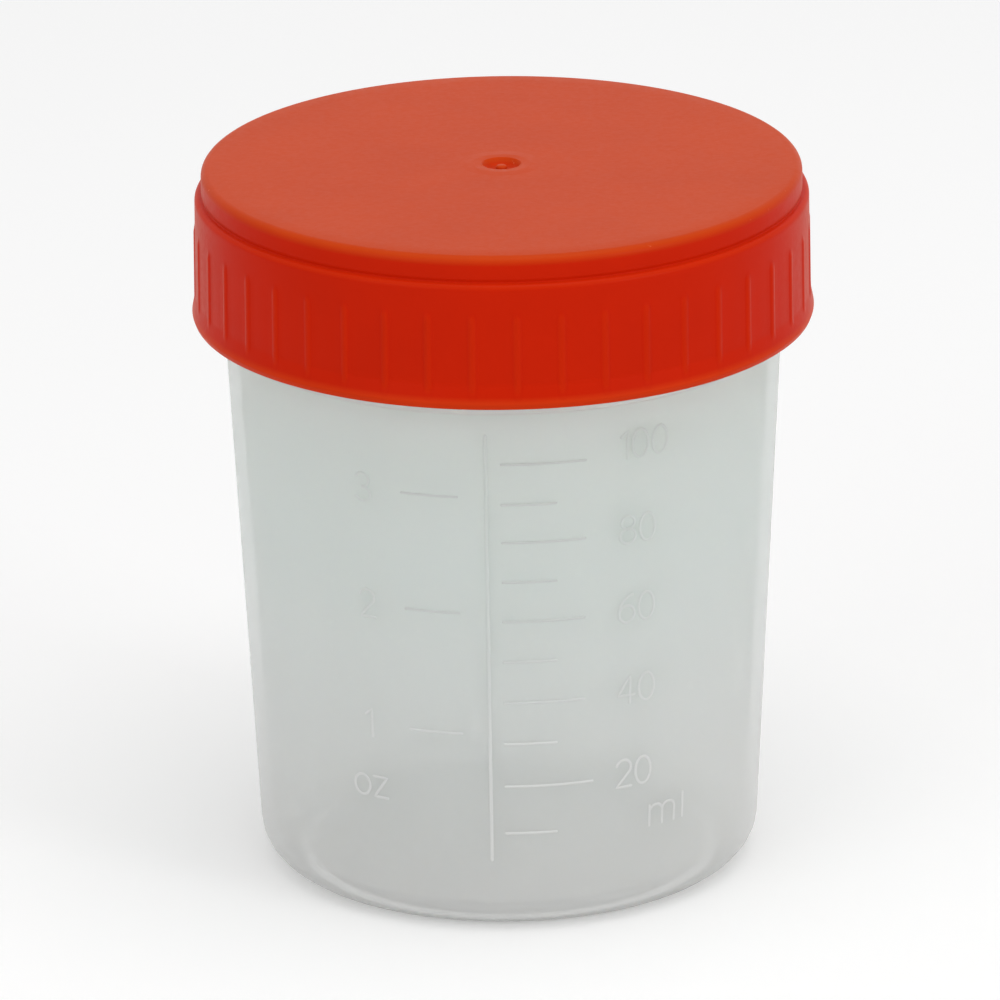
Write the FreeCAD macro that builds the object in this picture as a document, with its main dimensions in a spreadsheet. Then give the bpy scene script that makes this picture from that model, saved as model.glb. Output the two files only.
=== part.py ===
import FreeCAD, Part
import Sketcher
import math
import os

# Specimen cup with a screw cap, in millimetres. Z is up, the cup stands on z = 0 around the Z axis,
# and the face that carries the volume scale looks towards -Y.
#
# Pieces: the moulded cup, the moulded ribbed cap, and the sealing liner that the cap presses on the rim.
# The cap turns on the liner while both climb the neck, so every height above the rim starts at rim_height.

SHEET_NAME = "Sizes"
AXIS = "axis"
TABLE = "table"
MATCH_TOLERANCE = 0.001

DRIVING_SIZES = (
    ("rim_height", 73.1, "cup: table to rim"),
    ("neck_radius", 29.4, "cup: neck inside the cap"),
    ("neck_drop", 14.85, "cup: rim down to the step where the neck starts"),
    ("neck_step", 0.3, "cup: neck beyond the side wall"),
    ("body_taper", 2.95, "cup: how much the side wall narrows from the step to the table"),
    ("wall_thickness", 1.2, "cup: side wall"),
    ("base_corner", 4.2, "cup: round between base and side wall"),
    ("inside_bevel", 2.0, "cup: bevel between floor and side wall, inside"),
    ("foot_height", 0.9, "cup: how far the floor is raised off the table"),
    ("foot_width", 1.45, "cup: standing ring, inward of the base corner"),
    ("floor_thickness", 1.2, "cup: floor"),
    ("floor_disc_radius", 10.6, "cup: thicker disc in the middle of the floor"),
    ("floor_disc_rise", 0.4, "cup: how much thicker that disc is"),
    ("liner_thickness", 1.2, "liner: disc between rim and cap"),
    ("liner_clearance", 0.2, "liner: gap to the cap's cavity"),
    ("thread_gap", 1.6, "cap: room for the thread between neck and skirt"),
    ("skirt_wall", 1.0, "cap: skirt at the shoulder"),
    ("skirt_draft", 0.1, "cap: how much the skirt widens down to the flare"),
    ("cap_height", 16.05, "cap: overall"),
    ("panel_thickness", 1.5, "cap: top panel"),
    ("panel_step", 0.7, "cap: panel's edge inward of the skirt"),
    ("panel_wall", 1.1, "cap: wall round the liner's cavity"),
    ("panel_edge_round", 1.2, "cap: two-step rounding of the panel's edge"),
    ("shoulder_drop", 2.8, "cap: panel's top down to the skirt's shoulder"),
    ("shoulder_bevel", 0.5, "cap: bevel on the shoulder"),
    ("lip_reach", 0.4, "cap: flared lip beyond the skirt"),
    ("lip_undercut", 0.25, "cap: how far the lip's lower edge turns in again"),
    ("lip_crest_rise", 0.6, "cap: lip is widest this far above its lower edge"),
    ("lip_flare_rise", 2.6, "cap: flare starts this far above the lower edge"),
    ("bead_clearance", 0.25, "cap: bead that holds the liner, clear of the neck"),
    ("bead_drop", 0.6, "cap: bead's crest below the liner"),
    ("bead_gap", 0.2, "cap: bead's upper side below the liner"),
    ("rib_count", 44, "cap: grip ribs"),
    ("rib_width", 1.25, "cap: grip rib"),
    ("rib_rise", 0.2, "cap: grip rib beyond the skirt"),
    ("rib_drop", 5.6, "cap: panel's top down to where the ribs start"),
    ("rib_runout", 1.2, "cap: slope at the top of a rib"),
    ("rib_phase", 2.4, "cap: turn of the first rib, in degrees"),
    ("gate_radius", 2.05, "cap: dimple round the moulding gate"),
    ("gate_depth", 0.7, "cap: depth of that dimple"),
    ("nub_radius", 0.6, "cap: gate nub in the dimple"),
    ("nub_rise", 0.4, "cap: height of the nub"),
)

DERIVED_SIZES = (
    ("neck_start", "=rim_height - neck_drop", "cup"),
    ("body_top_radius", "=neck_radius - neck_step", "cup"),
    ("base_radius", "=body_top_radius - body_taper", "cup"),
    ("foot_radius", "=base_radius - base_corner - foot_width", "cup"),
    ("floor_top", "=foot_height + floor_thickness", "cup"),
    ("disc_top", "=floor_top + floor_disc_rise", "cup"),
    ("bore", "=body_top_radius - wall_thickness", "cup"),
    ("floor_bore", "=base_radius - wall_thickness", "cup"),
    ("floor_edge_radius", "=floor_bore - inside_bevel", "cup"),
    ("floor_edge_height", "=floor_top + inside_bevel", "cup"),
    ("cap_underside", "=rim_height + liner_thickness", "cap"),
    ("panel_top", "=cap_underside + panel_thickness", "cap"),
    ("cap_bottom", "=panel_top - cap_height", "cap"),
    ("skirt_bore", "=neck_radius + thread_gap", "cap"),
    ("skirt_top_radius", "=skirt_bore + skirt_wall", "cap"),
    ("skirt_bottom_radius", "=skirt_top_radius + skirt_draft", "cap"),
    ("lip_radius", "=skirt_bottom_radius + lip_reach", "cap"),
    ("lip_edge_radius", "=lip_radius - lip_undercut", "cap"),
    ("lip_crest", "=cap_bottom + lip_crest_rise", "cap"),
    ("lip_flare", "=cap_bottom + lip_flare_rise", "cap"),
    ("panel_radius", "=skirt_top_radius - panel_step", "cap"),
    ("panel_flat_radius", "=panel_radius - panel_edge_round", "cap"),
    ("panel_side_top", "=panel_top - panel_edge_round", "cap"),
    ("panel_mid_step", "=panel_edge_round * (1 - sqrt(0.5))", "cap: rounding at 45 degrees"),
    ("panel_mid_radius", "=panel_radius - panel_mid_step", "cap"),
    ("panel_mid_height", "=panel_top - panel_mid_step", "cap"),
    ("shoulder_height", "=panel_top - shoulder_drop", "cap"),
    ("shoulder_cut", "=min(shoulder_bevel; panel_step * 0.75)", "cap: bevel, within the ledge"),
    ("shoulder_edge_radius", "=skirt_top_radius - shoulder_cut", "cap"),
    ("shoulder_edge_height", "=shoulder_height - shoulder_cut", "cap"),
    ("cavity_radius", "=panel_radius - panel_wall", "cap"),
    ("bead_radius", "=neck_radius + bead_clearance", "cap"),
    ("bead_top", "=rim_height - bead_gap", "cap"),
    ("bead_crest", "=rim_height - bead_drop", "cap"),
    ("bead_bottom", "=bead_crest - (skirt_bore - bead_radius)", "cap: 45 degree ramp to the bore"),
    ("liner_radius", "=cavity_radius - liner_clearance", "liner"),
    ("rib_root", "=(skirt_bore + skirt_top_radius) / 2", "cap"),
    ("rib_top_radius", "=skirt_top_radius + rib_rise", "cap"),
    ("rib_bottom_radius", "=skirt_bottom_radius + rib_rise", "cap"),
    ("rib_start", "=panel_top - rib_drop", "cap"),
    ("rib_full", "=rib_start - rib_runout", "cap"),
    ("gate_floor", "=panel_top - gate_depth", "cap"),
    ("gate_floor_radius", "=gate_radius - gate_depth", "cap"),
    ("nub_top", "=gate_floor + nub_rise", "cap"),
)


def make_sheet(document):
    """Write every size into one spreadsheet: note, value or formula, alias."""
    sheet = document.addObject("Spreadsheet::Sheet", SHEET_NAME)
    for row, (alias, value, note) in enumerate(DRIVING_SIZES + DERIVED_SIZES, 1):
        sheet.set("A" + str(row), note)
        sheet.set("B" + str(row), str(value))
        sheet.setAlias("B" + str(row), alias)
    document.recompute()
    return sheet


def size(alias):
    """The present value of a size, for first guesses and for finding edges."""
    return float(SIZES.get(alias))


def bound(alias):
    return SHEET_NAME + "." + alias


def make_body(label):
    body = DOCUMENT.addObject("PartDesign::Body", label)
    body.Label = label
    return body


def origin_feature(body, role):
    """One of the body's own origin planes or axes."""
    return next(item for item in body.Origin.OriginFeatures if item.Role == role)


def hold_point(sketch, line, reference, kind, alias):
    """Pin the start of a line to one axis of the sketch, or to a distance from the origin."""
    if alias in (AXIS, TABLE):
        sketch.addConstraint(Sketcher.Constraint("PointOnObject", line, 1, reference))
        return
    constraint = Sketcher.Constraint(kind, -1, 1, line, 1, size(alias))
    number = sketch.addConstraint(constraint)
    sketch.setExpression("Constraints[" + str(number) + "]", bound(alias))


def make_outline(body, name, corners):
    """Closed outline on the XZ plane. Each corner is a (radius, height) pair of size names."""
    sketch = body.newObject("Sketcher::SketchObject", name)
    sketch.AttachmentSupport = (origin_feature(body, "XZ_Plane"), [""])
    sketch.MapMode = "FlatFace"
    places = [
        FreeCAD.Vector(0 if radius == AXIS else size(radius), 0 if height == TABLE else size(height), 0)
        for radius, height in corners
    ]
    count = len(places)
    for line in range(count):
        sketch.addGeometry(Part.LineSegment(places[line], places[(line + 1) % count]), False)
    for line in range(count):
        sketch.addConstraint(Sketcher.Constraint("Coincident", line, 2, (line + 1) % count, 1))
    for line, (radius, height) in enumerate(corners):
        hold_point(sketch, line, -2, "DistanceX", radius)
        hold_point(sketch, line, -1, "DistanceY", height)
    return sketch


def revolve(body, name, sketch):
    feature = body.newObject("PartDesign::Revolution", name)
    feature.Profile = sketch
    feature.ReferenceAxis = (sketch, ["V_Axis"])
    feature.Angle = 360
    sketch.Visibility = False
    DOCUMENT.recompute()
    return feature


def ring_edges(feature, places):
    """Names of the circular edges at the given (radius, height) pairs of size names."""
    names = []
    for number, edge in enumerate(feature.Shape.Edges, 1):
        if not isinstance(edge.Curve, Part.Circle):
            continue
        for radius, height in places:
            level = 0 if height == TABLE else size(height)
            same_radius = math.isclose(edge.Curve.Radius, size(radius), abs_tol=MATCH_TOLERANCE)
            same_height = math.isclose(edge.Curve.Center.z, level, abs_tol=MATCH_TOLERANCE)
            if same_radius and same_height:
                names.append("Edge" + str(number))
    return names


def round_rings(body, name, places, radius):
    """Round the body's circular edges at the given places."""
    base = body.Tip
    feature = body.newObject("PartDesign::Fillet", name)
    feature.Base = (base, ring_edges(base, places))
    feature.setExpression("Radius", bound(radius))
    body.Tip = feature
    DOCUMENT.recompute()
    return feature


def make_cup():
    """Tapered cup: raised floor on a standing ring, side wall, and a neck that starts at a small step."""
    body = make_body("cup")
    outline = make_outline(body, "cup_outline", [
        (AXIS, "foot_height"),
        ("foot_radius", "foot_height"),
        ("foot_radius", TABLE),
        ("base_radius", TABLE),
        ("body_top_radius", "neck_start"),
        ("neck_radius", "neck_start"),
        ("neck_radius", "rim_height"),
        ("bore", "rim_height"),
        ("bore", "neck_start"),
        ("floor_bore", "floor_edge_height"),
        ("floor_edge_radius", "floor_top"),
        ("floor_disc_radius", "floor_top"),
        ("floor_disc_radius", "disc_top"),
        (AXIS, "disc_top"),
    ])
    revolve(body, "cup_wall", outline)
    round_rings(body, "cup_base_round", [("base_radius", TABLE)], "base_corner")
    return body


def make_ribs(body):
    """Grip ribs: one rib that runs out at its top and ends in the lip, repeated round the skirt."""
    outline = make_outline(body, "rib_outline", [
        ("rib_root", "lip_crest"),
        ("rib_bottom_radius", "lip_crest"),
        ("rib_top_radius", "rib_full"),
        ("skirt_top_radius", "rib_start"),
        ("rib_root", "rib_start"),
    ])
    rib = body.newObject("PartDesign::Pad", "rib")
    rib.Profile = outline
    rib.Midplane = True
    rib.setExpression("Length", bound("rib_width"))
    outline.Visibility = False
    DOCUMENT.recompute()
    pattern = body.newObject("PartDesign::PolarPattern", "ribs")
    pattern.Originals = [rib]
    pattern.Axis = (origin_feature(body, "Z_Axis"), [""])
    pattern.Angle = 360
    pattern.setExpression("Occurrences", bound("rib_count"))
    body.Tip = pattern
    DOCUMENT.recompute()
    return pattern


def make_cap():
    """Screw cap: gated top panel, ribbed skirt with a flared lip, and a bead inside that holds the liner."""
    body = make_body("cap")
    outline = make_outline(body, "cap_outline", [
        (AXIS, "nub_top"),
        ("nub_radius", "nub_top"),
        ("nub_radius", "gate_floor"),
        ("gate_floor_radius", "gate_floor"),
        ("gate_radius", "panel_top"),
        ("panel_flat_radius", "panel_top"),
        ("panel_mid_radius", "panel_mid_height"),
        ("panel_radius", "panel_side_top"),
        ("panel_radius", "shoulder_height"),
        ("shoulder_edge_radius", "shoulder_height"),
        ("skirt_top_radius", "shoulder_edge_height"),
        ("skirt_bottom_radius", "lip_flare"),
        ("lip_radius", "lip_crest"),
        ("lip_edge_radius", "cap_bottom"),
        ("skirt_bore", "cap_bottom"),
        ("skirt_bore", "bead_bottom"),
        ("bead_radius", "bead_crest"),
        ("cavity_radius", "bead_top"),
        ("cavity_radius", "cap_underside"),
        (AXIS, "cap_underside"),
    ])
    revolve(body, "cap_shell", outline)
    make_ribs(body)
    body.setExpression("Placement.Rotation.Angle", bound("rib_phase"))
    return body


def make_liner():
    """Flat sealing disc that lies on the rim under the cap's panel."""
    disc = DOCUMENT.addObject("Part::Cylinder", "sealing_liner")
    disc.Label = "sealing_liner"
    disc.setExpression("Radius", bound("liner_radius"))
    disc.setExpression("Height", bound("liner_thickness"))
    disc.setExpression("Placement.Base.z", bound("rim_height"))
    return disc


def check_document(pieces):
    """Stop if any feature failed or any piece is not one valid solid."""
    for item in DOCUMENT.Objects:
        if "Invalid" in item.State or "Error" in item.State:
            raise RuntimeError("failed feature: " + item.Name)
    for piece in pieces:
        if piece.Shape.isNull() or not piece.Shape.isValid():
            raise RuntimeError("bad shape: " + piece.Label)
        if len(piece.Shape.Solids) != 1:
            raise RuntimeError("not one solid: " + piece.Label)


DOCUMENT = FreeCAD.newDocument("specimen_cup")
SIZES = make_sheet(DOCUMENT)
PIECES = [make_cup(), make_liner(), make_cap()]
DOCUMENT.recompute()
check_document(PIECES)
os.makedirs("parts", exist_ok=True)
for PIECE in PIECES:
    PIECE.Shape.exportStep("parts/" + PIECE.Label + ".step")
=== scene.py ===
import math

import bpy
from mathutils import Matrix, Vector


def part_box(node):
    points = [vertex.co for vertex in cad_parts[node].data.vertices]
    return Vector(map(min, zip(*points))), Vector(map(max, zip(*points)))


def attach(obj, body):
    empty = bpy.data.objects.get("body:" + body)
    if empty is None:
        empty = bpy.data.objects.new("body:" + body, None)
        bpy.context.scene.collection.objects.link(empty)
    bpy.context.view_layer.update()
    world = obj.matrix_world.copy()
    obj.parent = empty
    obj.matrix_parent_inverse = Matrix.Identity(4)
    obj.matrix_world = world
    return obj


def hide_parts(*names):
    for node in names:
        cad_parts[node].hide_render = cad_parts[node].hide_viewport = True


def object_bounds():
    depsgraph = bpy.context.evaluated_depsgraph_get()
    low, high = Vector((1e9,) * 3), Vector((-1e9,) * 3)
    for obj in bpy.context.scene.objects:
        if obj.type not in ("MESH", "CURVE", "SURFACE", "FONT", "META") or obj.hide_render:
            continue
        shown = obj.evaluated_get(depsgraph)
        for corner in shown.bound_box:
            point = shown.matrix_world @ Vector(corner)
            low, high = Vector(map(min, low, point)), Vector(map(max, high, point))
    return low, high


# A specimen cup with a ribbed screw cap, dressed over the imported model. Lengths are in metres.
# Each piece is turned on the Z axis from an outline of (radius, height) points. The outlines repeat the
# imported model's forms, and their main radii and heights are read from its boxes.
# Angles round the axis are measured from -Y, where the volume marks are, towards +X.

MM = 0.001
TURN = 2 * math.pi
NEAR = 0.05 * MM  # how close to a wall a point counts as lying on it
ON_AXIS = 1e-7


# ---- sizes -----------------------------------------------------------------------------------------------

def node_top(node):
    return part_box(node)[1][2]


def node_bottom(node):
    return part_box(node)[0][2]


def node_radius(node):
    low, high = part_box(node)
    return (high[0] - low[0]) / 2


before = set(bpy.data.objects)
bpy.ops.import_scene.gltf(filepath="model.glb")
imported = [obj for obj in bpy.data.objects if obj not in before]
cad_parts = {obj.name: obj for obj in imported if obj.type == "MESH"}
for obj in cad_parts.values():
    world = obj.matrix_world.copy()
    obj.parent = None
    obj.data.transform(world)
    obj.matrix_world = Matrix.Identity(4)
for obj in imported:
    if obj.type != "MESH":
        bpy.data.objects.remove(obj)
CAD_BOUNDS = [list(corner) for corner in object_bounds()]

RIM = node_top("cup")
NECK_RADIUS = node_radius("cup")
NECK_START = RIM - 14.85 * MM
NECK_SHARE = NECK_START / RIM
BODY_TOP_RADIUS = NECK_RADIUS - 0.3 * MM
BASE_RADIUS = BODY_TOP_RADIUS - 2.95 * MM
WALL = 1.2 * MM
BASE_CORNER = 4.2 * MM
FOOT_HEIGHT = 0.9 * MM
FOOT_RADIUS = 20.5 * MM
FLOOR_TOP = FOOT_HEIGHT + 1.2 * MM
FLOOR_DISC_RADIUS = 10.6 * MM
FLOOR_DISC_RISE = 0.4 * MM
BORE = BODY_TOP_RADIUS - WALL
FLOOR_BORE = BASE_RADIUS - WALL
GATE_STUB_RADIUS = 0.9 * MM
GATE_STUB_BOTTOM = FOOT_HEIGHT - 0.35 * MM
BORE_BEND = 8 * MM
FLOOR_CORNER = 2.6 * MM

CAP_TOP = node_top("cap")
CAP_BOTTOM = node_bottom("cap")
LIP_RADIUS = node_radius("cap")
SKIRT_BOTTOM_RADIUS = LIP_RADIUS - 0.4 * MM
SKIRT_TOP_RADIUS = SKIRT_BOTTOM_RADIUS - 0.1 * MM
SKIRT_BORE = SKIRT_TOP_RADIUS - 1.0 * MM
PANEL_RADIUS = SKIRT_TOP_RADIUS - 0.7 * MM
PANEL_EDGE_ROUND = 0.8 * MM
PANEL_UNDERSIDE = node_top("sealing_liner")
CAVITY_RADIUS = PANEL_RADIUS - 1.1 * MM
BEAD_RADIUS = NECK_RADIUS + 0.25 * MM
BEAD_FOOT = RIM - 1.95 * MM
BEAD_CREST = RIM - 0.6 * MM
BEAD_TOP = RIM - 0.2 * MM
SWELL_RADIUS = 3.0 * MM
SWELL = 0.05 * MM
GATE_RADIUS = 2.05 * MM
GATE_FLOOR = CAP_TOP - 0.7 * MM
NUB_RADIUS = 0.6 * MM
SHOULDER = CAP_TOP - 2.8 * MM
LIP_CREST = CAP_BOTTOM + 0.6 * MM
LIP_FLARE = CAP_BOTTOM + 2.6 * MM
RIB_COUNT = 44
RIB_WIDTH = 1.25 * MM
RIB_RISE = 0.15 * MM
RIB_START = CAP_TOP - 5.6 * MM
RIB_FULL = CAP_TOP - 6.8 * MM
RIB_PHASE = math.radians(2.4)

LINER_RADIUS = node_radius("sealing_liner")
LINER_PRINT = 0.06 * MM

THREAD_LEAD = 5.0 * MM
THREAD_DEPTH = 1.15 * MM
THREAD_CREST = 0.7 * MM
THREAD_FOOT = 2.3 * MM
THREAD_FADE = math.radians(30)
NECK_THREAD_START = RIM - 10.3 * MM
NECK_THREAD_TURNS = 1.6
CAP_THREAD_START = NECK_THREAD_START - THREAD_LEAD / 2
CAP_THREAD_TURNS = 1.7
CAP_THREAD_LIMIT = SHOULDER - 1.5 * MM

MARK_RISE = 0.10 * MM
MARK_SINK = 0.05 * MM
MARK_FULL_WIDTH = 0.3 * MM  # a narrower stroke rises less


# ---- outlines --------------------------------------------------------------------------------------------

ROUND_STEPS = 6
# Longest stretch of an outline between two rings of points, and the number of points in a ring.
NECK_SPACING = 0.2 * MM
WALL_SPACING = 1.2 * MM
SKIRT_SPACING = 0.22 * MM
PANEL_SPACING = 2.0 * MM
LINER_SPACING = 1.5 * MM
CUP_ANGLES = 288
LINER_ANGLES = 192


def rounded(corners):
    """Path through (radius, height, rounding) corners, each inner corner rounded by an arc."""
    path = [Vector(corners[0][:2])]
    for before, corner, after in zip(corners, corners[1:], corners[2:]):
        here = Vector(corner[:2])
        rounding = corner[2]
        if rounding == 0:
            path.append(here)
            continue
        into = (Vector(before[:2]) - here).normalized()
        away = (Vector(after[:2]) - here).normalized()
        half = into.angle(away) / 2
        centre = here + (into + away).normalized() * rounding / math.sin(half)
        first = here + into * rounding / math.tan(half) - centre
        last = here + away * rounding / math.tan(half) - centre
        sweep = first.angle(last)
        for step in range(ROUND_STEPS + 1):
            share = step / ROUND_STEPS
            arm = first * math.sin((1 - share) * sweep) + last * math.sin(share * sweep)
            path.append(centre + arm / math.sin(sweep))
    path.append(Vector(corners[-1][:2]))
    return path


def divided(path, spacing):
    """The same path with extra points, so that no stretch is longer than spacing(height)."""
    result = [path[0]]
    for start, end in zip(path, path[1:]):
        step = spacing((start.y + end.y) / 2)
        count = max(1, math.ceil((end - start).length / step))
        result += [start.lerp(end, number / count) for number in range(1, count + 1)]
    return result


def even_angles(count):
    return [TURN * number / count for number in range(count)]


def new_object(name, vertices, faces, smooth=True):
    mesh = bpy.data.meshes.new(name)
    mesh.from_pydata(vertices, [], faces)
    mesh.validate()
    piece = bpy.data.objects.new(name, mesh)
    bpy.context.collection.objects.link(piece)
    for polygon in mesh.polygons:
        polygon.use_smooth = smooth
    return piece


def on_axis_circle(radius, angle, height):
    """Point at an angle round the axis."""
    return Vector((radius * math.sin(angle), -radius * math.cos(angle), height))


def turned(name, path, angles, relief=None):
    """Closed solid of revolution. relief(angle, radius, height) moves the surface outward or inward."""
    vertices = []
    rings = []
    for point in path:
        first = len(vertices)
        if point.x < ON_AXIS:
            vertices.append(Vector((0, 0, point.y)))
            rings.append([first] * len(angles))
            continue
        for angle in angles:
            moved = relief(angle, point.x, point.y) if relief else 0
            vertices.append(on_axis_circle(point.x + moved, angle, point.y))
        rings.append(list(range(first, first + len(angles))))
    faces = []
    for lower, upper in zip(rings, rings[1:]):
        for number in range(len(angles)):
            following = (number + 1) % len(angles)
            corners = [lower[number], lower[following], upper[following], upper[number]]
            faces.append(list(dict.fromkeys(corners)))
    return new_object(name, vertices, faces)


def smooth_step(value):
    """0 up to the value 0, 1 from the value 1 on, and an even bend between."""
    value = min(1, max(0, value))
    return value * value * (3 - 2 * value)


def thread_relief(angle, height, start, turns):
    """Height of a right-hand thread ridge that begins at the angle 0 and climbs from the given height."""
    relief = 0
    for lap in range(math.ceil(turns) + 1):
        along = angle % TURN + lap * TURN
        centre = start + THREAD_LEAD * along / TURN
        flank = (THREAD_FOOT / 2 - abs(height - centre)) / ((THREAD_FOOT - THREAD_CREST) / 2)
        fade = min(along, turns * TURN - along) / THREAD_FADE
        if fade > 0:
            relief = max(relief, THREAD_DEPTH * smooth_step(flank) * smooth_step(fade))
    return relief


# ---- cup -------------------------------------------------------------------------------------------------

def wall_radius(height):
    """Outside of the tapered side wall."""
    return BASE_RADIUS + (BODY_TOP_RADIUS - BASE_RADIUS) * height / NECK_START


def cup_relief(angle, radius, height):
    """The thread, on the outside of the neck."""
    if radius < NECK_RADIUS - NEAR or height < NECK_START:
        return 0
    return thread_relief(angle, height, NECK_THREAD_START, NECK_THREAD_TURNS)


def make_cup():
    """Cup: from the gate stub under its floor, up its outside, over the rim and down its inside."""
    corners = [
        (0, GATE_STUB_BOTTOM, 0),
        (GATE_STUB_RADIUS, GATE_STUB_BOTTOM, 0.15 * MM),
        (GATE_STUB_RADIUS, FOOT_HEIGHT, 0.1 * MM),
        (FOOT_RADIUS, FOOT_HEIGHT, 0.4 * MM),
        (FOOT_RADIUS + 0.1 * MM, 0, 0.25 * MM),
        (BASE_RADIUS, 0, BASE_CORNER),
        (BODY_TOP_RADIUS, NECK_START, 0.1 * MM),
        (NECK_RADIUS, NECK_START, 0.1 * MM),
        (NECK_RADIUS, RIM, 0.4 * MM),
        (BORE, RIM, 0.3 * MM),
        (BORE, NECK_START, BORE_BEND),
        (FLOOR_BORE, FLOOR_TOP, FLOOR_CORNER),
        (FLOOR_DISC_RADIUS, FLOOR_TOP, 0.25 * MM),
        (FLOOR_DISC_RADIUS - 0.2 * MM, FLOOR_TOP + FLOOR_DISC_RISE, 0.15 * MM),
        (0, FLOOR_TOP + FLOOR_DISC_RISE, 0),
    ]
    path = divided(rounded(corners), lambda height: NECK_SPACING if height > NECK_START else WALL_SPACING)
    cup = turned("cup_moulding", path, even_angles(CUP_ANGLES), cup_relief)
    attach(cup, "cup")
    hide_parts("cup")
    return cup


# ---- volume marks ----------------------------------------------------------------------------------------

LABEL_HEIGHT = 3.05 * MM
LABEL_GAP = 0.16
LABEL_STROKE = 0.34 * MM
TICK_STROKE = 0.32 * MM
SCALE_LINE_STROKE = 0.42 * MM
SCALE_ZERO = 6.9 * MM
MILLILITRE = 1e-6
OUNCE = 29.57 * MILLILITRE
OUNCE_RAISE = 1.3 * MM
LABEL_RAISE = 0.25 * MM
TOP_LABEL_RAISE = 1.0 * MM
TOP_TICK_RAISE = 0.25 * MM
LOWEST_TICK_DROP = 0.5 * MM
LOWEST_TICK = 10  # in millilitres, as the labels say
HIGHEST_TICK = 100
TICK_STEP = 10
LABEL_STEP = 20
OUNCES = (1, 2, 3)
SCALE_LOWEST = 3 * MILLILITRE
SCALE_HIGHEST = 108 * MILLILITRE
OZ_LEVEL = 18 * MILLILITRE

# Angles on the wall, in degrees.
SCALE_LINE_ANGLE = -4.0
TICK_START = -0.8
TICK_END = 10.4
LABELLED_TICK_END = 16.6
LOWEST_LABELLED_TICK_END = 18.6
LABEL_START = 24.4
ML_START = 33.0
OUNCE_TICK_START = -21.9
OUNCE_TICK_END = -10.1
OUNCE_LABEL_START = -32.6
OZ_START = -36.4
BOW_STEP = 15  # between the points of a bow


def stroke(*points):
    """Straight lines from point to point."""
    return [Vector(point) for point in points]


def bow(centre_x, centre_y, width, height, start, end):
    """Part of an ellipse, between two angles in degrees."""
    count = max(3, round(abs(end - start) / BOW_STEP))
    points = []
    for number in range(count + 1):
        angle = math.radians(start + (end - start) * number / count)
        across = centre_x + width / 2 * math.cos(angle)
        points.append(Vector((across, centre_y + height / 2 * math.sin(angle))))
    return points


# Each sign is its width and its strokes, in shares of the label's height.
SIGNS = {
    "0": (0.60, [bow(0.30, 0.50, 0.60, 1.00, 90, 450)]),
    "1": (0.26, [stroke((0.0, 0.80), (0.24, 1.0), (0.24, 0.0))]),
    "2": (0.56, [bow(0.27, 0.72, 0.54, 0.56, 165, -35) + stroke((0.0, 0.0), (0.56, 0.0))]),
    "3": (0.58, [bow(0.28, 0.75, 0.52, 0.50, 150, -90), bow(0.28, 0.26, 0.58, 0.52, 90, -150)]),
    "4": (0.64, [stroke((0.46, 0.0), (0.46, 1.0), (0.0, 0.30), (0.64, 0.30))]),
    "6": (0.58, [bow(0.29, 0.31, 0.58, 0.62, 0, 360), bow(0.55, 0.33, 1.10, 1.34, 180, 95)]),
    "8": (0.58, [bow(0.29, 0.76, 0.48, 0.48, -90, 270), bow(0.29, 0.27, 0.58, 0.54, 90, 450)]),
    "m": (1.06, [
        stroke((0.0, 0.0), (0.0, 0.74)),
        bow(0.265, 0.50, 0.53, 0.48, 180, 0) + stroke((0.53, 0.0)),
        bow(0.795, 0.50, 0.53, 0.48, 180, 0) + stroke((1.06, 0.0)),
    ]),
    "l": (0.24, [stroke((0.22, 0.0), (0.22, 0.90))]),
    "o": (0.62, [bow(0.31, 0.37, 0.62, 0.74, 90, 450)]),
    "z": (0.52, [stroke((0.0, 0.74), (0.52, 0.74), (0.0, 0.0), (0.52, 0.0))]),
}


def level(volume):
    """Height on the cup at which the scale reads this volume: the bore filled up from the scale's zero."""
    step = 0.1 * MM
    height = SCALE_ZERO
    filled = 0
    while filled < volume:
        filled += math.pi * (wall_radius(height) - WALL) ** 2 * step
        height += step
    return height


def on_wall(angle, across, height, rise):
    """Point a distance across from an angle, on the side wall or above it."""
    radius = wall_radius(height)
    return on_axis_circle(radius + rise, angle + across / radius, height)


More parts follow.
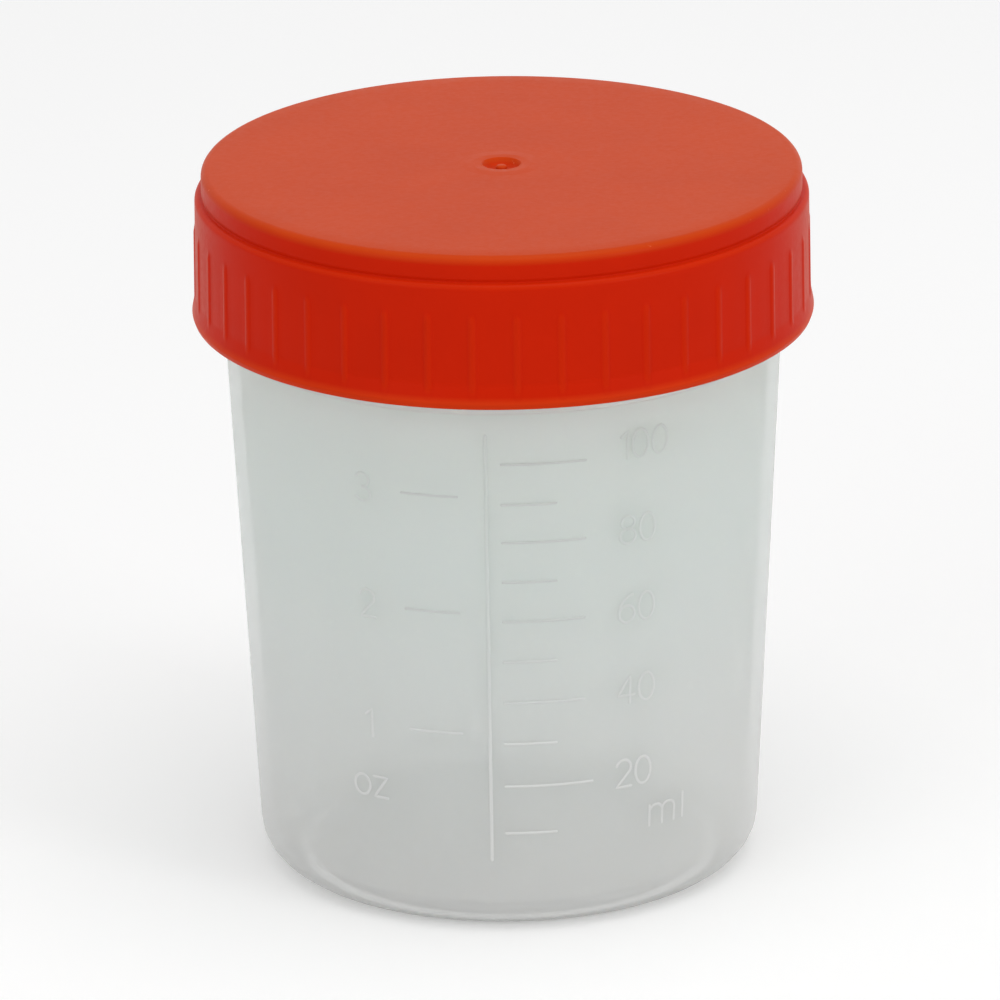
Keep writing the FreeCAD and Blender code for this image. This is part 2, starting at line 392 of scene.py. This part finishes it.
class Marks:
    """Gathers raised strokes on the side wall into one mesh."""

    SECTION_STEPS = 6
    END_STEPS = 3
    TIP_SHARE = 0.05
    STEP = 0.5 * MM

    def __init__(self):
        self.vertices = []
        self.faces = []

    def add_ring(self, angle, place, side, width):
        """One cross-section of a stroke: a low arch over the wall, closed below its surface."""
        ring = []
        for step in range(self.SECTION_STEPS + 1):
            turn = math.pi * step / self.SECTION_STEPS
            spot = place + side * width / 2 * math.cos(turn)
            rise = MARK_RISE * math.sin(turn) * min(1, width / MARK_FULL_WIDTH) - MARK_SINK
            ring.append(len(self.vertices))
            self.vertices.append(on_wall(angle, spot.x, spot.y, rise))
        return ring

    def add_stroke(self, angle, points, width):
        """A raised line through points given as (across, height), with round ends."""
        path = divided(points, lambda _height: self.STEP)
        directions = []
        for number in range(len(path)):
            before = path[max(0, number - 1)]
            after = path[min(len(path) - 1, number + 1)]
            directions.append((after - before).normalized())
        turns = [math.pi / 2 * step / self.END_STEPS for step in range(self.END_STEPS)]
        sections = []
        for turn in turns:
            place = path[0] - directions[0] * width / 2 * math.cos(turn)
            sections.append((place, directions[0], math.sin(turn)))
        sections += [(place, direction, 1) for place, direction in zip(path, directions)]
        for turn in reversed(turns):
            place = path[-1] + directions[-1] * width / 2 * math.cos(turn)
            sections.append((place, directions[-1], math.sin(turn)))
        rings = []
        for place, direction, share in sections:
            side = Vector((direction.y, -direction.x))
            rings.append(self.add_ring(angle, place, side, width * max(share, self.TIP_SHARE)))
        for lower, upper in zip(rings, rings[1:]):
            for number in range(len(lower)):
                following = (number + 1) % len(lower)
                self.faces.append([lower[number], upper[number], upper[following], lower[following]])
        self.faces.append(rings[0])
        self.faces.append(rings[-1][::-1])

    def add_tick(self, start, end, height):
        """A level line round the wall between two angles in degrees."""
        angle = math.radians(start)
        length = math.radians(end - start) * wall_radius(height)
        self.add_stroke(angle, [Vector((0, height)), Vector((length, height))], TICK_STROKE)

    def add_label(self, text, start, bottom):
        """Signs from an angle in degrees, standing on a height."""
        across = 0
        for letter in text:
            width, strokes = SIGNS[letter]
            for points in strokes:
                placed = [
                    Vector((across + point.x * LABEL_HEIGHT, bottom + point.y * LABEL_HEIGHT))
                    for point in points
                ]
                self.add_stroke(math.radians(start), placed, LABEL_STROKE)
            across += (width + LABEL_GAP) * LABEL_HEIGHT


def make_marks():
    """Volume scale: a long upright line, millilitres on its right and fluid ounces on its left.

    The ticks are one piece, and the line and the figures, which show less, are another.
    """
    ticks = Marks()
    figures = Marks()
    line = [Vector((0, level(SCALE_LOWEST))), Vector((0, level(SCALE_HIGHEST)))]
    figures.add_stroke(math.radians(SCALE_LINE_ANGLE), line, SCALE_LINE_STROKE)
    for volume in range(LOWEST_TICK, HIGHEST_TICK + 1, TICK_STEP):
        height = level(volume * MILLILITRE) - (LOWEST_TICK_DROP if volume == LOWEST_TICK else 0)
        labelled = volume % LABEL_STEP == 0
        if volume == HIGHEST_TICK:
            height += TOP_TICK_RAISE
        end = TICK_END
        if labelled:
            end = LABELLED_TICK_END if volume > LABEL_STEP else LOWEST_LABELLED_TICK_END
        ticks.add_tick(TICK_START, end, height)
        if labelled:
            raised = TOP_LABEL_RAISE if volume == HIGHEST_TICK else LABEL_RAISE
            figures.add_label(str(volume), LABEL_START, height + raised - LABEL_HEIGHT / 2)
    for ounces in OUNCES:
        height = level(ounces * OUNCE) + OUNCE_RAISE
        ticks.add_tick(OUNCE_TICK_START, OUNCE_TICK_END, height)
        figures.add_label(str(ounces), OUNCE_LABEL_START, height - LABEL_HEIGHT / 2)
    figures.add_label("ml", ML_START, level(LOWEST_TICK * MILLILITRE) - LABEL_HEIGHT / 2)
    figures.add_label("oz", OZ_START, level(OZ_LEVEL) - LABEL_HEIGHT / 2)
    pieces = []
    for name, strokes in (("volume_ticks", ticks), ("volume_line_and_figures", figures)):
        piece = new_object(name, strokes.vertices, strokes.faces)
        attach(piece, "cup")
        pieces.append(piece)
    return pieces


# ---- sealing liner ---------------------------------------------------------------------------------------

def make_liner():
    """Foam disc with the rim's print in its underside."""
    low = node_bottom("sealing_liner")
    high = node_top("sealing_liner")
    corners = [
        (0, low, 0),
        (BORE - 0.3 * MM, low, 0.2 * MM),
        (BORE, low + LINER_PRINT, 0.2 * MM),
        (NECK_RADIUS - 0.4 * MM, low + LINER_PRINT, 0.2 * MM),
        (NECK_RADIUS - 0.1 * MM, low, 0.2 * MM),
        (LINER_RADIUS, low, 0.12 * MM),
        (LINER_RADIUS, high, 0.12 * MM),
        (0, high, 0),
    ]
    path = divided(rounded(corners), lambda _height: LINER_SPACING)
    liner = turned("liner_disc", path, even_angles(LINER_ANGLES))
    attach(liner, "liner")
    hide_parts("sealing_liner")
    return liner


# ---- cap -------------------------------------------------------------------------------------------------

def rib_share(angle):
    """1 on the crest of the nearest grip rib, 0 between the ribs."""
    pitch = TURN / RIB_COUNT
    offset = (angle - RIB_PHASE + pitch / 2) % pitch - pitch / 2
    return smooth_step((RIB_WIDTH / 2 - abs(offset) * SKIRT_TOP_RADIUS) / (RIB_WIDTH / 2))


def rib_runout(height):
    """1 where the ribs stand at full height, 0 above their tops."""
    return smooth_step((RIB_START - height) / (RIB_START - RIB_FULL))


def cap_relief(angle, radius, height):
    """The thread inside the skirt, and the ribs outside."""
    if radius < (SKIRT_BORE + SKIRT_TOP_RADIUS) / 2:
        if height < CAP_THREAD_LIMIT and radius > SKIRT_BORE - NEAR:
            return -thread_relief(angle, height, CAP_THREAD_START, CAP_THREAD_TURNS)
        return 0
    if height < LIP_CREST or height > RIB_START:
        return 0
    slope = (SKIRT_BOTTOM_RADIUS - SKIRT_TOP_RADIUS) / (SHOULDER - LIP_FLARE)
    crest = SKIRT_TOP_RADIUS + slope * (SHOULDER - height) + RIB_RISE * rib_runout(height)
    return max(0, crest - radius) * rib_share(angle)


def rib_angles():
    """Angles that are close together on each rib and wide apart between ribs."""
    pitch = TURN / RIB_COUNT
    half_rib = RIB_WIDTH / 2 / SKIRT_TOP_RADIUS
    steps = [-1.0, -0.8, -0.6, -0.4, -0.2, 0.2, 0.4, 0.6, 0.8, 1.0]
    between = [0.25, 0.5, 0.75]
    angles = []
    for rib in range(RIB_COUNT):
        centre = RIB_PHASE + rib * pitch
        angles += [centre + share * half_rib for share in steps]
        angles += [centre + half_rib + share * (pitch - 2 * half_rib) for share in between]
    return angles


def store_rib_crests(cap):
    """Keeps how far each point lies up a grip rib, for the painted highlight along the crests and the
    painted shade at their feet.
    """
    crests = cap.data.attributes.new("rib_crest", "FLOAT", "POINT")
    for vertex, crest in zip(cap.data.vertices, crests.data):
        across, towards, height = vertex.co
        if math.hypot(across, towards) > SKIRT_TOP_RADIUS - NEAR and height > LIP_CREST:
            foot = smooth_step((height - LIP_CREST) / (LIP_FLARE - LIP_CREST))
            crest.value = rib_share(math.atan2(across, -towards)) * rib_runout(height) * foot


def make_cap():
    """Cap: from the nub in its gate, over the panel, down its outside, and up its inside to the panel."""
    corners = [
        (0, GATE_FLOOR + 0.5 * MM, 0),
        (NUB_RADIUS, GATE_FLOOR + 0.45 * MM, 0.32 * MM),
        (NUB_RADIUS, GATE_FLOOR, 0.1 * MM),
        (GATE_RADIUS - 0.35 * MM, GATE_FLOOR + 0.05 * MM, 0.3 * MM),
        (GATE_RADIUS, CAP_TOP - 0.8 * SWELL, 0.12 * MM),
        (SWELL_RADIUS, CAP_TOP, 2.0 * MM),
        (SWELL_RADIUS + 1.2 * MM, CAP_TOP - SWELL, 4.0 * MM),
        (PANEL_RADIUS, CAP_TOP - SWELL, PANEL_EDGE_ROUND),
        (PANEL_RADIUS, SHOULDER + 0.4 * MM, 0.2 * MM),
        (PANEL_RADIUS - 0.12 * MM, SHOULDER, 0.12 * MM),
        (SKIRT_TOP_RADIUS, SHOULDER, 0.6 * MM),
        (SKIRT_BOTTOM_RADIUS, LIP_FLARE, 2.5 * MM),
        (LIP_RADIUS, LIP_CREST, 0.5 * MM),
        (LIP_RADIUS - 0.22 * MM, CAP_BOTTOM, 0.22 * MM),
        (SKIRT_BORE, CAP_BOTTOM, 0.3 * MM),
        (SKIRT_BORE, BEAD_FOOT, 0.3 * MM),
        (BEAD_RADIUS, BEAD_CREST, 0.15 * MM),
        (CAVITY_RADIUS, BEAD_TOP, 0.1 * MM),
        (CAVITY_RADIUS, PANEL_UNDERSIDE, 0.15 * MM),
        (0, PANEL_UNDERSIDE, 0),
    ]
    path = divided(rounded(corners), lambda height: SKIRT_SPACING if height < SHOULDER else PANEL_SPACING)
    cap = turned("cap_moulding", path, rib_angles(), cap_relief)
    store_rib_crests(cap)
    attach(cap, "cap")
    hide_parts("cap")
    return cap


# ---- materials -------------------------------------------------------------------------------------------

# Colours by share of the rim's height.
CUP_STOPS = [
    (0.00, (0.80, 0.80, 0.78)),
    (0.05, (0.875, 0.875, 0.85)),
    (0.30, (0.845, 0.885, 0.855)),
    (0.55, (0.825, 0.92, 0.86)),
    (NECK_SHARE - 0.002, (0.845, 0.93, 0.85)),
    # Painted shade line at the neck's step, then a painted pinkish reflection of the red cap in the band
    # just above it.
    (NECK_SHARE, (0.85, 0.83, 0.78)),
    (NECK_SHARE + 0.003, (0.92, 0.87, 0.81)),
    (NECK_SHARE + 0.020, (0.90, 0.88, 0.82)),
    (NECK_SHARE + 0.035, (0.86, 0.93, 0.87)),
]
# Volume marks, ticks and figures alike: painted light low on the wall and painted shade higher up.
TICK_STOPS = [
    (0.00, (0.84, 0.84, 0.83)),
    (0.27, (0.83, 0.84, 0.83)),
    (0.35, (0.76, 0.78, 0.77)),
    (0.50, (0.67, 0.695, 0.68)),
    (1.00, (0.64, 0.665, 0.64)),
]
FIGURE_STOPS = [
    (0.00, (0.84, 0.84, 0.83)),
    (0.27, (0.83, 0.84, 0.83)),
    (0.37, (0.77, 0.795, 0.78)),
    (0.58, (0.73, 0.775, 0.75)),
    (0.70, (0.71, 0.755, 0.725)),
    (1.00, (0.67, 0.71, 0.675)),
]

# Colours by share of the cap's height: lip, skirt, shoulder, panel's edge, panel. The lip is painted lighter
# with light bounced from the table, the shoulder carries a painted highlight line, and the panel's edge and
# top are painted oranger with reflected light from above.
CAP_STOPS = [
    (0.05, (0.63, 0.036, 0.003)),
    (0.085, (0.585, 0.015, 0.0003)),
    (0.79, (0.585, 0.015, 0.0003)),
    (0.815, (0.59, 0.023, 0.001)),
    (0.83, (0.585, 0.015, 0.0003)),
    (0.935, (0.58, 0.015, 0.0003)),
    (0.985, (0.58, 0.054, 0.005)),
]


def new_material(name):
    material = bpy.data.materials.new(name)
    material.use_nodes = True
    nodes = material.node_tree.nodes
    return material, nodes, material.node_tree.links, nodes["Principled BSDF"]


def add_noise(nodes, links, scale, detail, stretch=(1, 1, 1)):
    """Noise in object space, at a scale in cells per metre."""
    place = nodes.new("ShaderNodeTexCoord")
    mapping = nodes.new("ShaderNodeMapping")
    mapping.inputs["Scale"].default_value = stretch
    noise = nodes.new("ShaderNodeTexNoise")
    noise.inputs["Scale"].default_value = scale
    noise.inputs["Detail"].default_value = detail
    links.new(place.outputs["Object"], mapping.inputs["Vector"])
    links.new(mapping.outputs["Vector"], noise.inputs["Vector"])
    return noise.outputs["Fac"]


def add_range(nodes, links, source, low, high, from_low=0.3, from_high=0.7):
    """Map a value from one range to another."""
    node = nodes.new("ShaderNodeMapRange")
    node.inputs["From Min"].default_value = from_low
    node.inputs["From Max"].default_value = from_high
    node.inputs["To Min"].default_value = low
    node.inputs["To Max"].default_value = high
    links.new(source, node.inputs["Value"])
    return node.outputs["Result"]


def add_height(nodes, links):
    """Height above the table."""
    place = nodes.new("ShaderNodeTexCoord")
    split = nodes.new("ShaderNodeSeparateXYZ")
    links.new(place.outputs["Object"], split.inputs["Vector"])
    return split.outputs["Z"]


def add_ramp(nodes, links, source, stops):
    """Colour ramp through (position, colour) stops."""
    ramp = nodes.new("ShaderNodeValToRGB")
    elements = ramp.color_ramp.elements
    while len(elements) < len(stops):
        elements.new(0.5)
    for element, (position, colour) in zip(elements, stops):
        element.position = position
        element.color = (*colour, 1)
    links.new(source, ramp.inputs["Fac"])
    return ramp.outputs["Color"]


def add_mix(nodes, links, factor, first, second, mode="MIX"):
    """Mix of two colours. The node's own names for its colour sockets are shared, so they go by number."""
    mix = nodes.new("ShaderNodeMix")
    mix.data_type = "RGBA"
    mix.blend_type = mode
    if isinstance(factor, float):
        mix.inputs[0].default_value = factor
    else:
        links.new(factor, mix.inputs[0])
    links.new(first, mix.inputs[6])
    links.new(second, mix.inputs[7])
    return mix.outputs[2]


def add_bump(nodes, links, source, strength, distance, below=None):
    """Bump over another one, or over the plain surface."""
    bump = nodes.new("ShaderNodeBump")
    bump.inputs["Strength"].default_value = strength
    bump.inputs["Distance"].default_value = distance
    links.new(source, bump.inputs["Height"])
    if below is not None:
        links.new(below, bump.inputs["Normal"])
    return bump.outputs["Normal"]


def milky_surface(nodes, links, shader, stops):
    """Colour by height above the table with faint clouds, and a satin skin with fine flow lines."""
    share = add_range(nodes, links, add_height(nodes, links), 0, 1, 0, RIM)
    by_height = add_ramp(nodes, links, share, stops)
    clouds = add_ramp(nodes, links, add_noise(nodes, links, 60, 3, (1, 1, 0.4)), [
        (0.3, (0.975, 0.98, 0.985)), (0.7, (1.0, 1.0, 0.995)),
    ])
    links.new(add_mix(nodes, links, 1.0, by_height, clouds, "MULTIPLY"), shader.inputs["Base Color"])
    roughness = add_range(nodes, links, add_noise(nodes, links, 220, 4), 0.32, 0.40)
    links.new(roughness, shader.inputs["Roughness"])
    peel = add_bump(nodes, links, add_noise(nodes, links, 900, 2), 0.25, 0.01 * MM)
    flow = add_bump(nodes, links, add_noise(nodes, links, 350, 2, (1, 1, 0.05)), 0.2, 0.012 * MM, peel)
    links.new(flow, shader.inputs["Normal"])
    shader.inputs["Specular IOR Level"].default_value = 0.04


def cup_plastic():
    """Translucent polypropylene."""
    material, nodes, links, shader = new_material("cup_milky")
    milky_surface(nodes, links, shader, CUP_STOPS)
    shader.inputs["IOR"].default_value = 1.49
    shader.inputs["Subsurface Weight"].default_value = 1.0
    shader.inputs["Subsurface Radius"].default_value = (1.0, 0.97, 0.93)
    shader.inputs["Subsurface Scale"].default_value = 5 * MM
    shader.inputs["Alpha"].default_value = 0.50
    return material


def marks_plastic(name, stops):
    """The cup's plastic where it is thicker, so that less shows through, coloured with painted light low on
    the wall and painted shade higher up.
    """
    material, nodes, links, shader = new_material(name)
    milky_surface(nodes, links, shader, stops)
    shader.inputs["Alpha"].default_value = 0.60
    return material


def cap_plastic():
    """Coloured polyethylene: soft gloss, faint clouds, painted light on the lip, shoulder and panel, painted
    highlights along the rib crests with painted shade at their feet, a few nicks, fine grain and scuffs.
    """
    material, nodes, links, shader = new_material("cap_orange_red")
    share = add_range(nodes, links, add_height(nodes, links), 0, 1, CAP_BOTTOM, CAP_TOP)
    by_height = add_ramp(nodes, links, share, CAP_STOPS)
    clouds = add_ramp(nodes, links, add_noise(nodes, links, 110, 3), [
        (0.32, (0.96, 0.93, 0.93)), (0.68, (1.0, 1.0, 1.0)),
    ])
    colour = add_mix(nodes, links, 1.0, by_height, clouds, "MULTIPLY")
    crest = nodes.new("ShaderNodeAttribute")
    crest.attribute_name = "rib_crest"
    # Painted shade at the feet of the grip ribs and a painted highlight along their crests.
    rib_highlight_and_shade = add_ramp(nodes, links, crest.outputs["Fac"], [
        (0.0, (0.995, 0.96, 0.95)), (0.10, (0.975, 0.89, 0.89)), (0.35, (0.99, 0.98, 0.98)),
        (0.6, (1.01, 1.17, 1.22)),
    ])
    colour = add_mix(nodes, links, 1.0, colour, rib_highlight_and_shade, "MULTIPLY")
    edge = add_ramp(nodes, links, share, [
        (0.955, (0.0, 0.0, 0.0)), (0.97, (1.0, 1.0, 1.0)), (0.99, (1.0, 1.0, 1.0)), (0.997, (0.0, 0.0, 0.0)),
    ])
    nicks = add_range(nodes, links, add_noise(nodes, links, 1000, 2), 0, 1, 0.71, 0.75)
    worn = add_mix(nodes, links, 1.0, nicks, edge, "MULTIPLY")
    light = add_ramp(nodes, links, share, [(0.9, (0.66, 0.10, 0.04)), (1.0, (0.68, 0.12, 0.05))])
    links.new(add_mix(nodes, links, worn, colour, light), shader.inputs["Base Color"])
    roughness = add_range(nodes, links, add_noise(nodes, links, 1500, 3), 0.36, 0.43)
    links.new(roughness, shader.inputs["Roughness"])
    grain = add_bump(nodes, links, add_noise(nodes, links, 2600, 2), 0.4, 0.012 * MM)
    scuffs = add_range(nodes, links, add_noise(nodes, links, 240, 6, (1, 5, 1)), 0, 1, 0.64, 0.68)
    links.new(add_bump(nodes, links, scuffs, 0.2, 0.01 * MM, grain), shader.inputs["Normal"])
    shader.inputs["Specular IOR Level"].default_value = 0.045
    shader.inputs["Sheen Weight"].default_value = 0.12
    shader.inputs["Sheen Roughness"].default_value = 0.31
    shader.inputs["Sheen Tint"].default_value = (1.0, 0.62, 0.28, 1)
    return material


def liner_foam():
    """White closed-cell foam with a fine skin."""
    material, nodes, links, shader = new_material("liner_white_foam")
    cells = nodes.new("ShaderNodeTexVoronoi")
    cells.inputs["Scale"].default_value = 2600
    place = nodes.new("ShaderNodeTexCoord")
    links.new(place.outputs["Object"], cells.inputs["Vector"])
    tone = add_ramp(nodes, links, cells.outputs["Distance"], [
        (0.0, (0.70, 0.70, 0.68)), (0.6, (0.86, 0.86, 0.84)),
    ])
    links.new(tone, shader.inputs["Base Color"])
    roughness = add_range(nodes, links, add_noise(nodes, links, 300, 3), 0.6, 0.8)
    links.new(roughness, shader.inputs["Roughness"])
    links.new(add_bump(nodes, links, cells.outputs["Distance"], 0.4, 0.05 * MM), shader.inputs["Normal"])
    return material


# ---- studio ----------------------------------------------------------------------------------------------

FLOOR_REACH = 3.0
FLOOR_OWN_LIGHT = 0.22
WORLD_LEVEL = 0.62
WHITE = 1.0
CAMERA_DISTANCE = 1.039
CAMERA_ELEVATION = math.radians(19.68)
CAMERA_ROLL = math.radians(0.72)
CAMERA_LENS = 355.3
AIM_OFFSET = Vector((-0.58, 0, 0.66)) * MM  # from the middle of the object to the middle of the view
# Each softbox is its place, its width and its power.
SOFTBOXES = {
    "softbox_above": ((0.1, -0.15, 0.92), 0.7, 2.4),
    "softbox_left": ((-0.60, -0.74, 0.42), 0.6, 1.35),
    "softbox_right": ((0.74, -0.58, 0.40), 0.3, 1.7),
}


def camera_sees(nodes, links):
    """1 for rays that come from the camera straight, off gloss or through clear plastic."""
    path = nodes.new("ShaderNodeLightPath")
    first = nodes.new("ShaderNodeMath")
    first.operation = "MAXIMUM"
    links.new(path.outputs["Is Camera Ray"], first.inputs[0])
    links.new(path.outputs["Is Glossy Ray"], first.inputs[1])
    second = nodes.new("ShaderNodeMath")
    second.operation = "MAXIMUM"
    links.new(first.outputs[0], second.inputs[0])
    links.new(path.outputs["Is Transmission Ray"], second.inputs[1])
    return second.outputs[0]


def make_floor():
    """Pale floor that keeps the shadow, with a little light of its own for what the camera sees."""
    low, high = -FLOOR_REACH, FLOOR_REACH
    vertices = [(low, low, 0), (high, low, 0), (high, high, 0), (low, high, 0)]
    floor = new_object("studio_floor", vertices, [[0, 1, 2, 3]], smooth=False)
    material, nodes, links, shader = new_material("floor_white")
    tone = add_ramp(nodes, links, add_noise(nodes, links, 3, 2), [
        (0.3, (0.80, 0.80, 0.80)), (0.7, (0.82, 0.82, 0.82)),
    ])
    links.new(tone, shader.inputs["Base Color"])
    shader.inputs["Roughness"].default_value = 0.9
    shader.inputs["Specular IOR Level"].default_value = 0.1
    shader.inputs["Emission Color"].default_value = (1, 1, 1, 1)
    own_light = nodes.new("ShaderNodeMath")
    own_light.operation = "MULTIPLY"
    own_light.inputs[1].default_value = FLOOR_OWN_LIGHT
    links.new(camera_sees(nodes, links), own_light.inputs[0])
    links.new(own_light.outputs[0], shader.inputs["Emission Strength"])
    floor.data.materials.append(material)


def make_world():
    """Even white surroundings: a plain level for the object, white for what the camera sees."""
    world = bpy.data.worlds.new("studio")
    bpy.context.scene.world = world
    world.use_nodes = True
    nodes = world.node_tree.nodes
    links = world.node_tree.links
    strength = nodes.new("ShaderNodeMapRange")
    strength.inputs["To Min"].default_value = WORLD_LEVEL
    strength.inputs["To Max"].default_value = WHITE
    links.new(camera_sees(nodes, links), strength.inputs["Value"])
    nodes["Background"].inputs["Color"].default_value = (1, 1, 1, 1)
    links.new(strength.outputs["Result"], nodes["Background"].inputs["Strength"])


def add_softbox(name, place, target, size, power):
    """Square area lamp turned to its target."""
    light = bpy.data.lights.new(name, "AREA")
    light.shape = "RECTANGLE"
    light.size = size
    light.size_y = size
    light.energy = power
    lamp = bpy.data.objects.new(name, light)
    lamp.location = place
    lamp.rotation_euler = (Vector(target) - Vector(place)).to_track_quat("-Z", "Y").to_euler()
    bpy.context.collection.objects.link(lamp)


def make_camera():
    """Long lens from the front and a little above, with a slight roll."""
    low, high = CAD_BOUNDS
    aim = (Vector(low) + Vector(high)) / 2 + AIM_OFFSET
    forward = Vector((0, math.cos(CAMERA_ELEVATION), -math.sin(CAMERA_ELEVATION)))
    level_right = Vector((1, 0, 0))
    level_up = level_right.cross(forward)
    right = level_right * math.cos(CAMERA_ROLL) - level_up * math.sin(CAMERA_ROLL)
    up = level_right * math.sin(CAMERA_ROLL) + level_up * math.cos(CAMERA_ROLL)
    data = bpy.data.cameras.new("camera")
    data.sensor_width = 36
    data.lens = CAMERA_LENS
    data.clip_start = 0.05
    data.clip_end = 20
    camera = bpy.data.objects.new("camera", data)
    turn = Matrix((right, up, -forward)).transposed().to_4x4()
    camera.matrix_world = Matrix.Translation(aim - forward * CAMERA_DISTANCE) @ turn
    bpy.context.collection.objects.link(camera)
    bpy.context.scene.camera = camera


def main():
    """Dresses the model and lights it."""
    bpy.context.scene.view_settings.view_transform = "Standard"
    make_camera()
    make_cup().data.materials.append(cup_plastic())
    ticks, figures = make_marks()
    ticks.data.materials.append(marks_plastic("ticks_milky", TICK_STOPS))
    figures.data.materials.append(marks_plastic("figures_milky", FIGURE_STOPS))
    make_liner().data.materials.append(liner_foam())
    make_cap().data.materials.append(cap_plastic())
    make_floor()
    make_world()
    for name, (place, size, power) in SOFTBOXES.items():
        add_softbox(name, place, (0, 0, RIM / 2), size, power)


main()
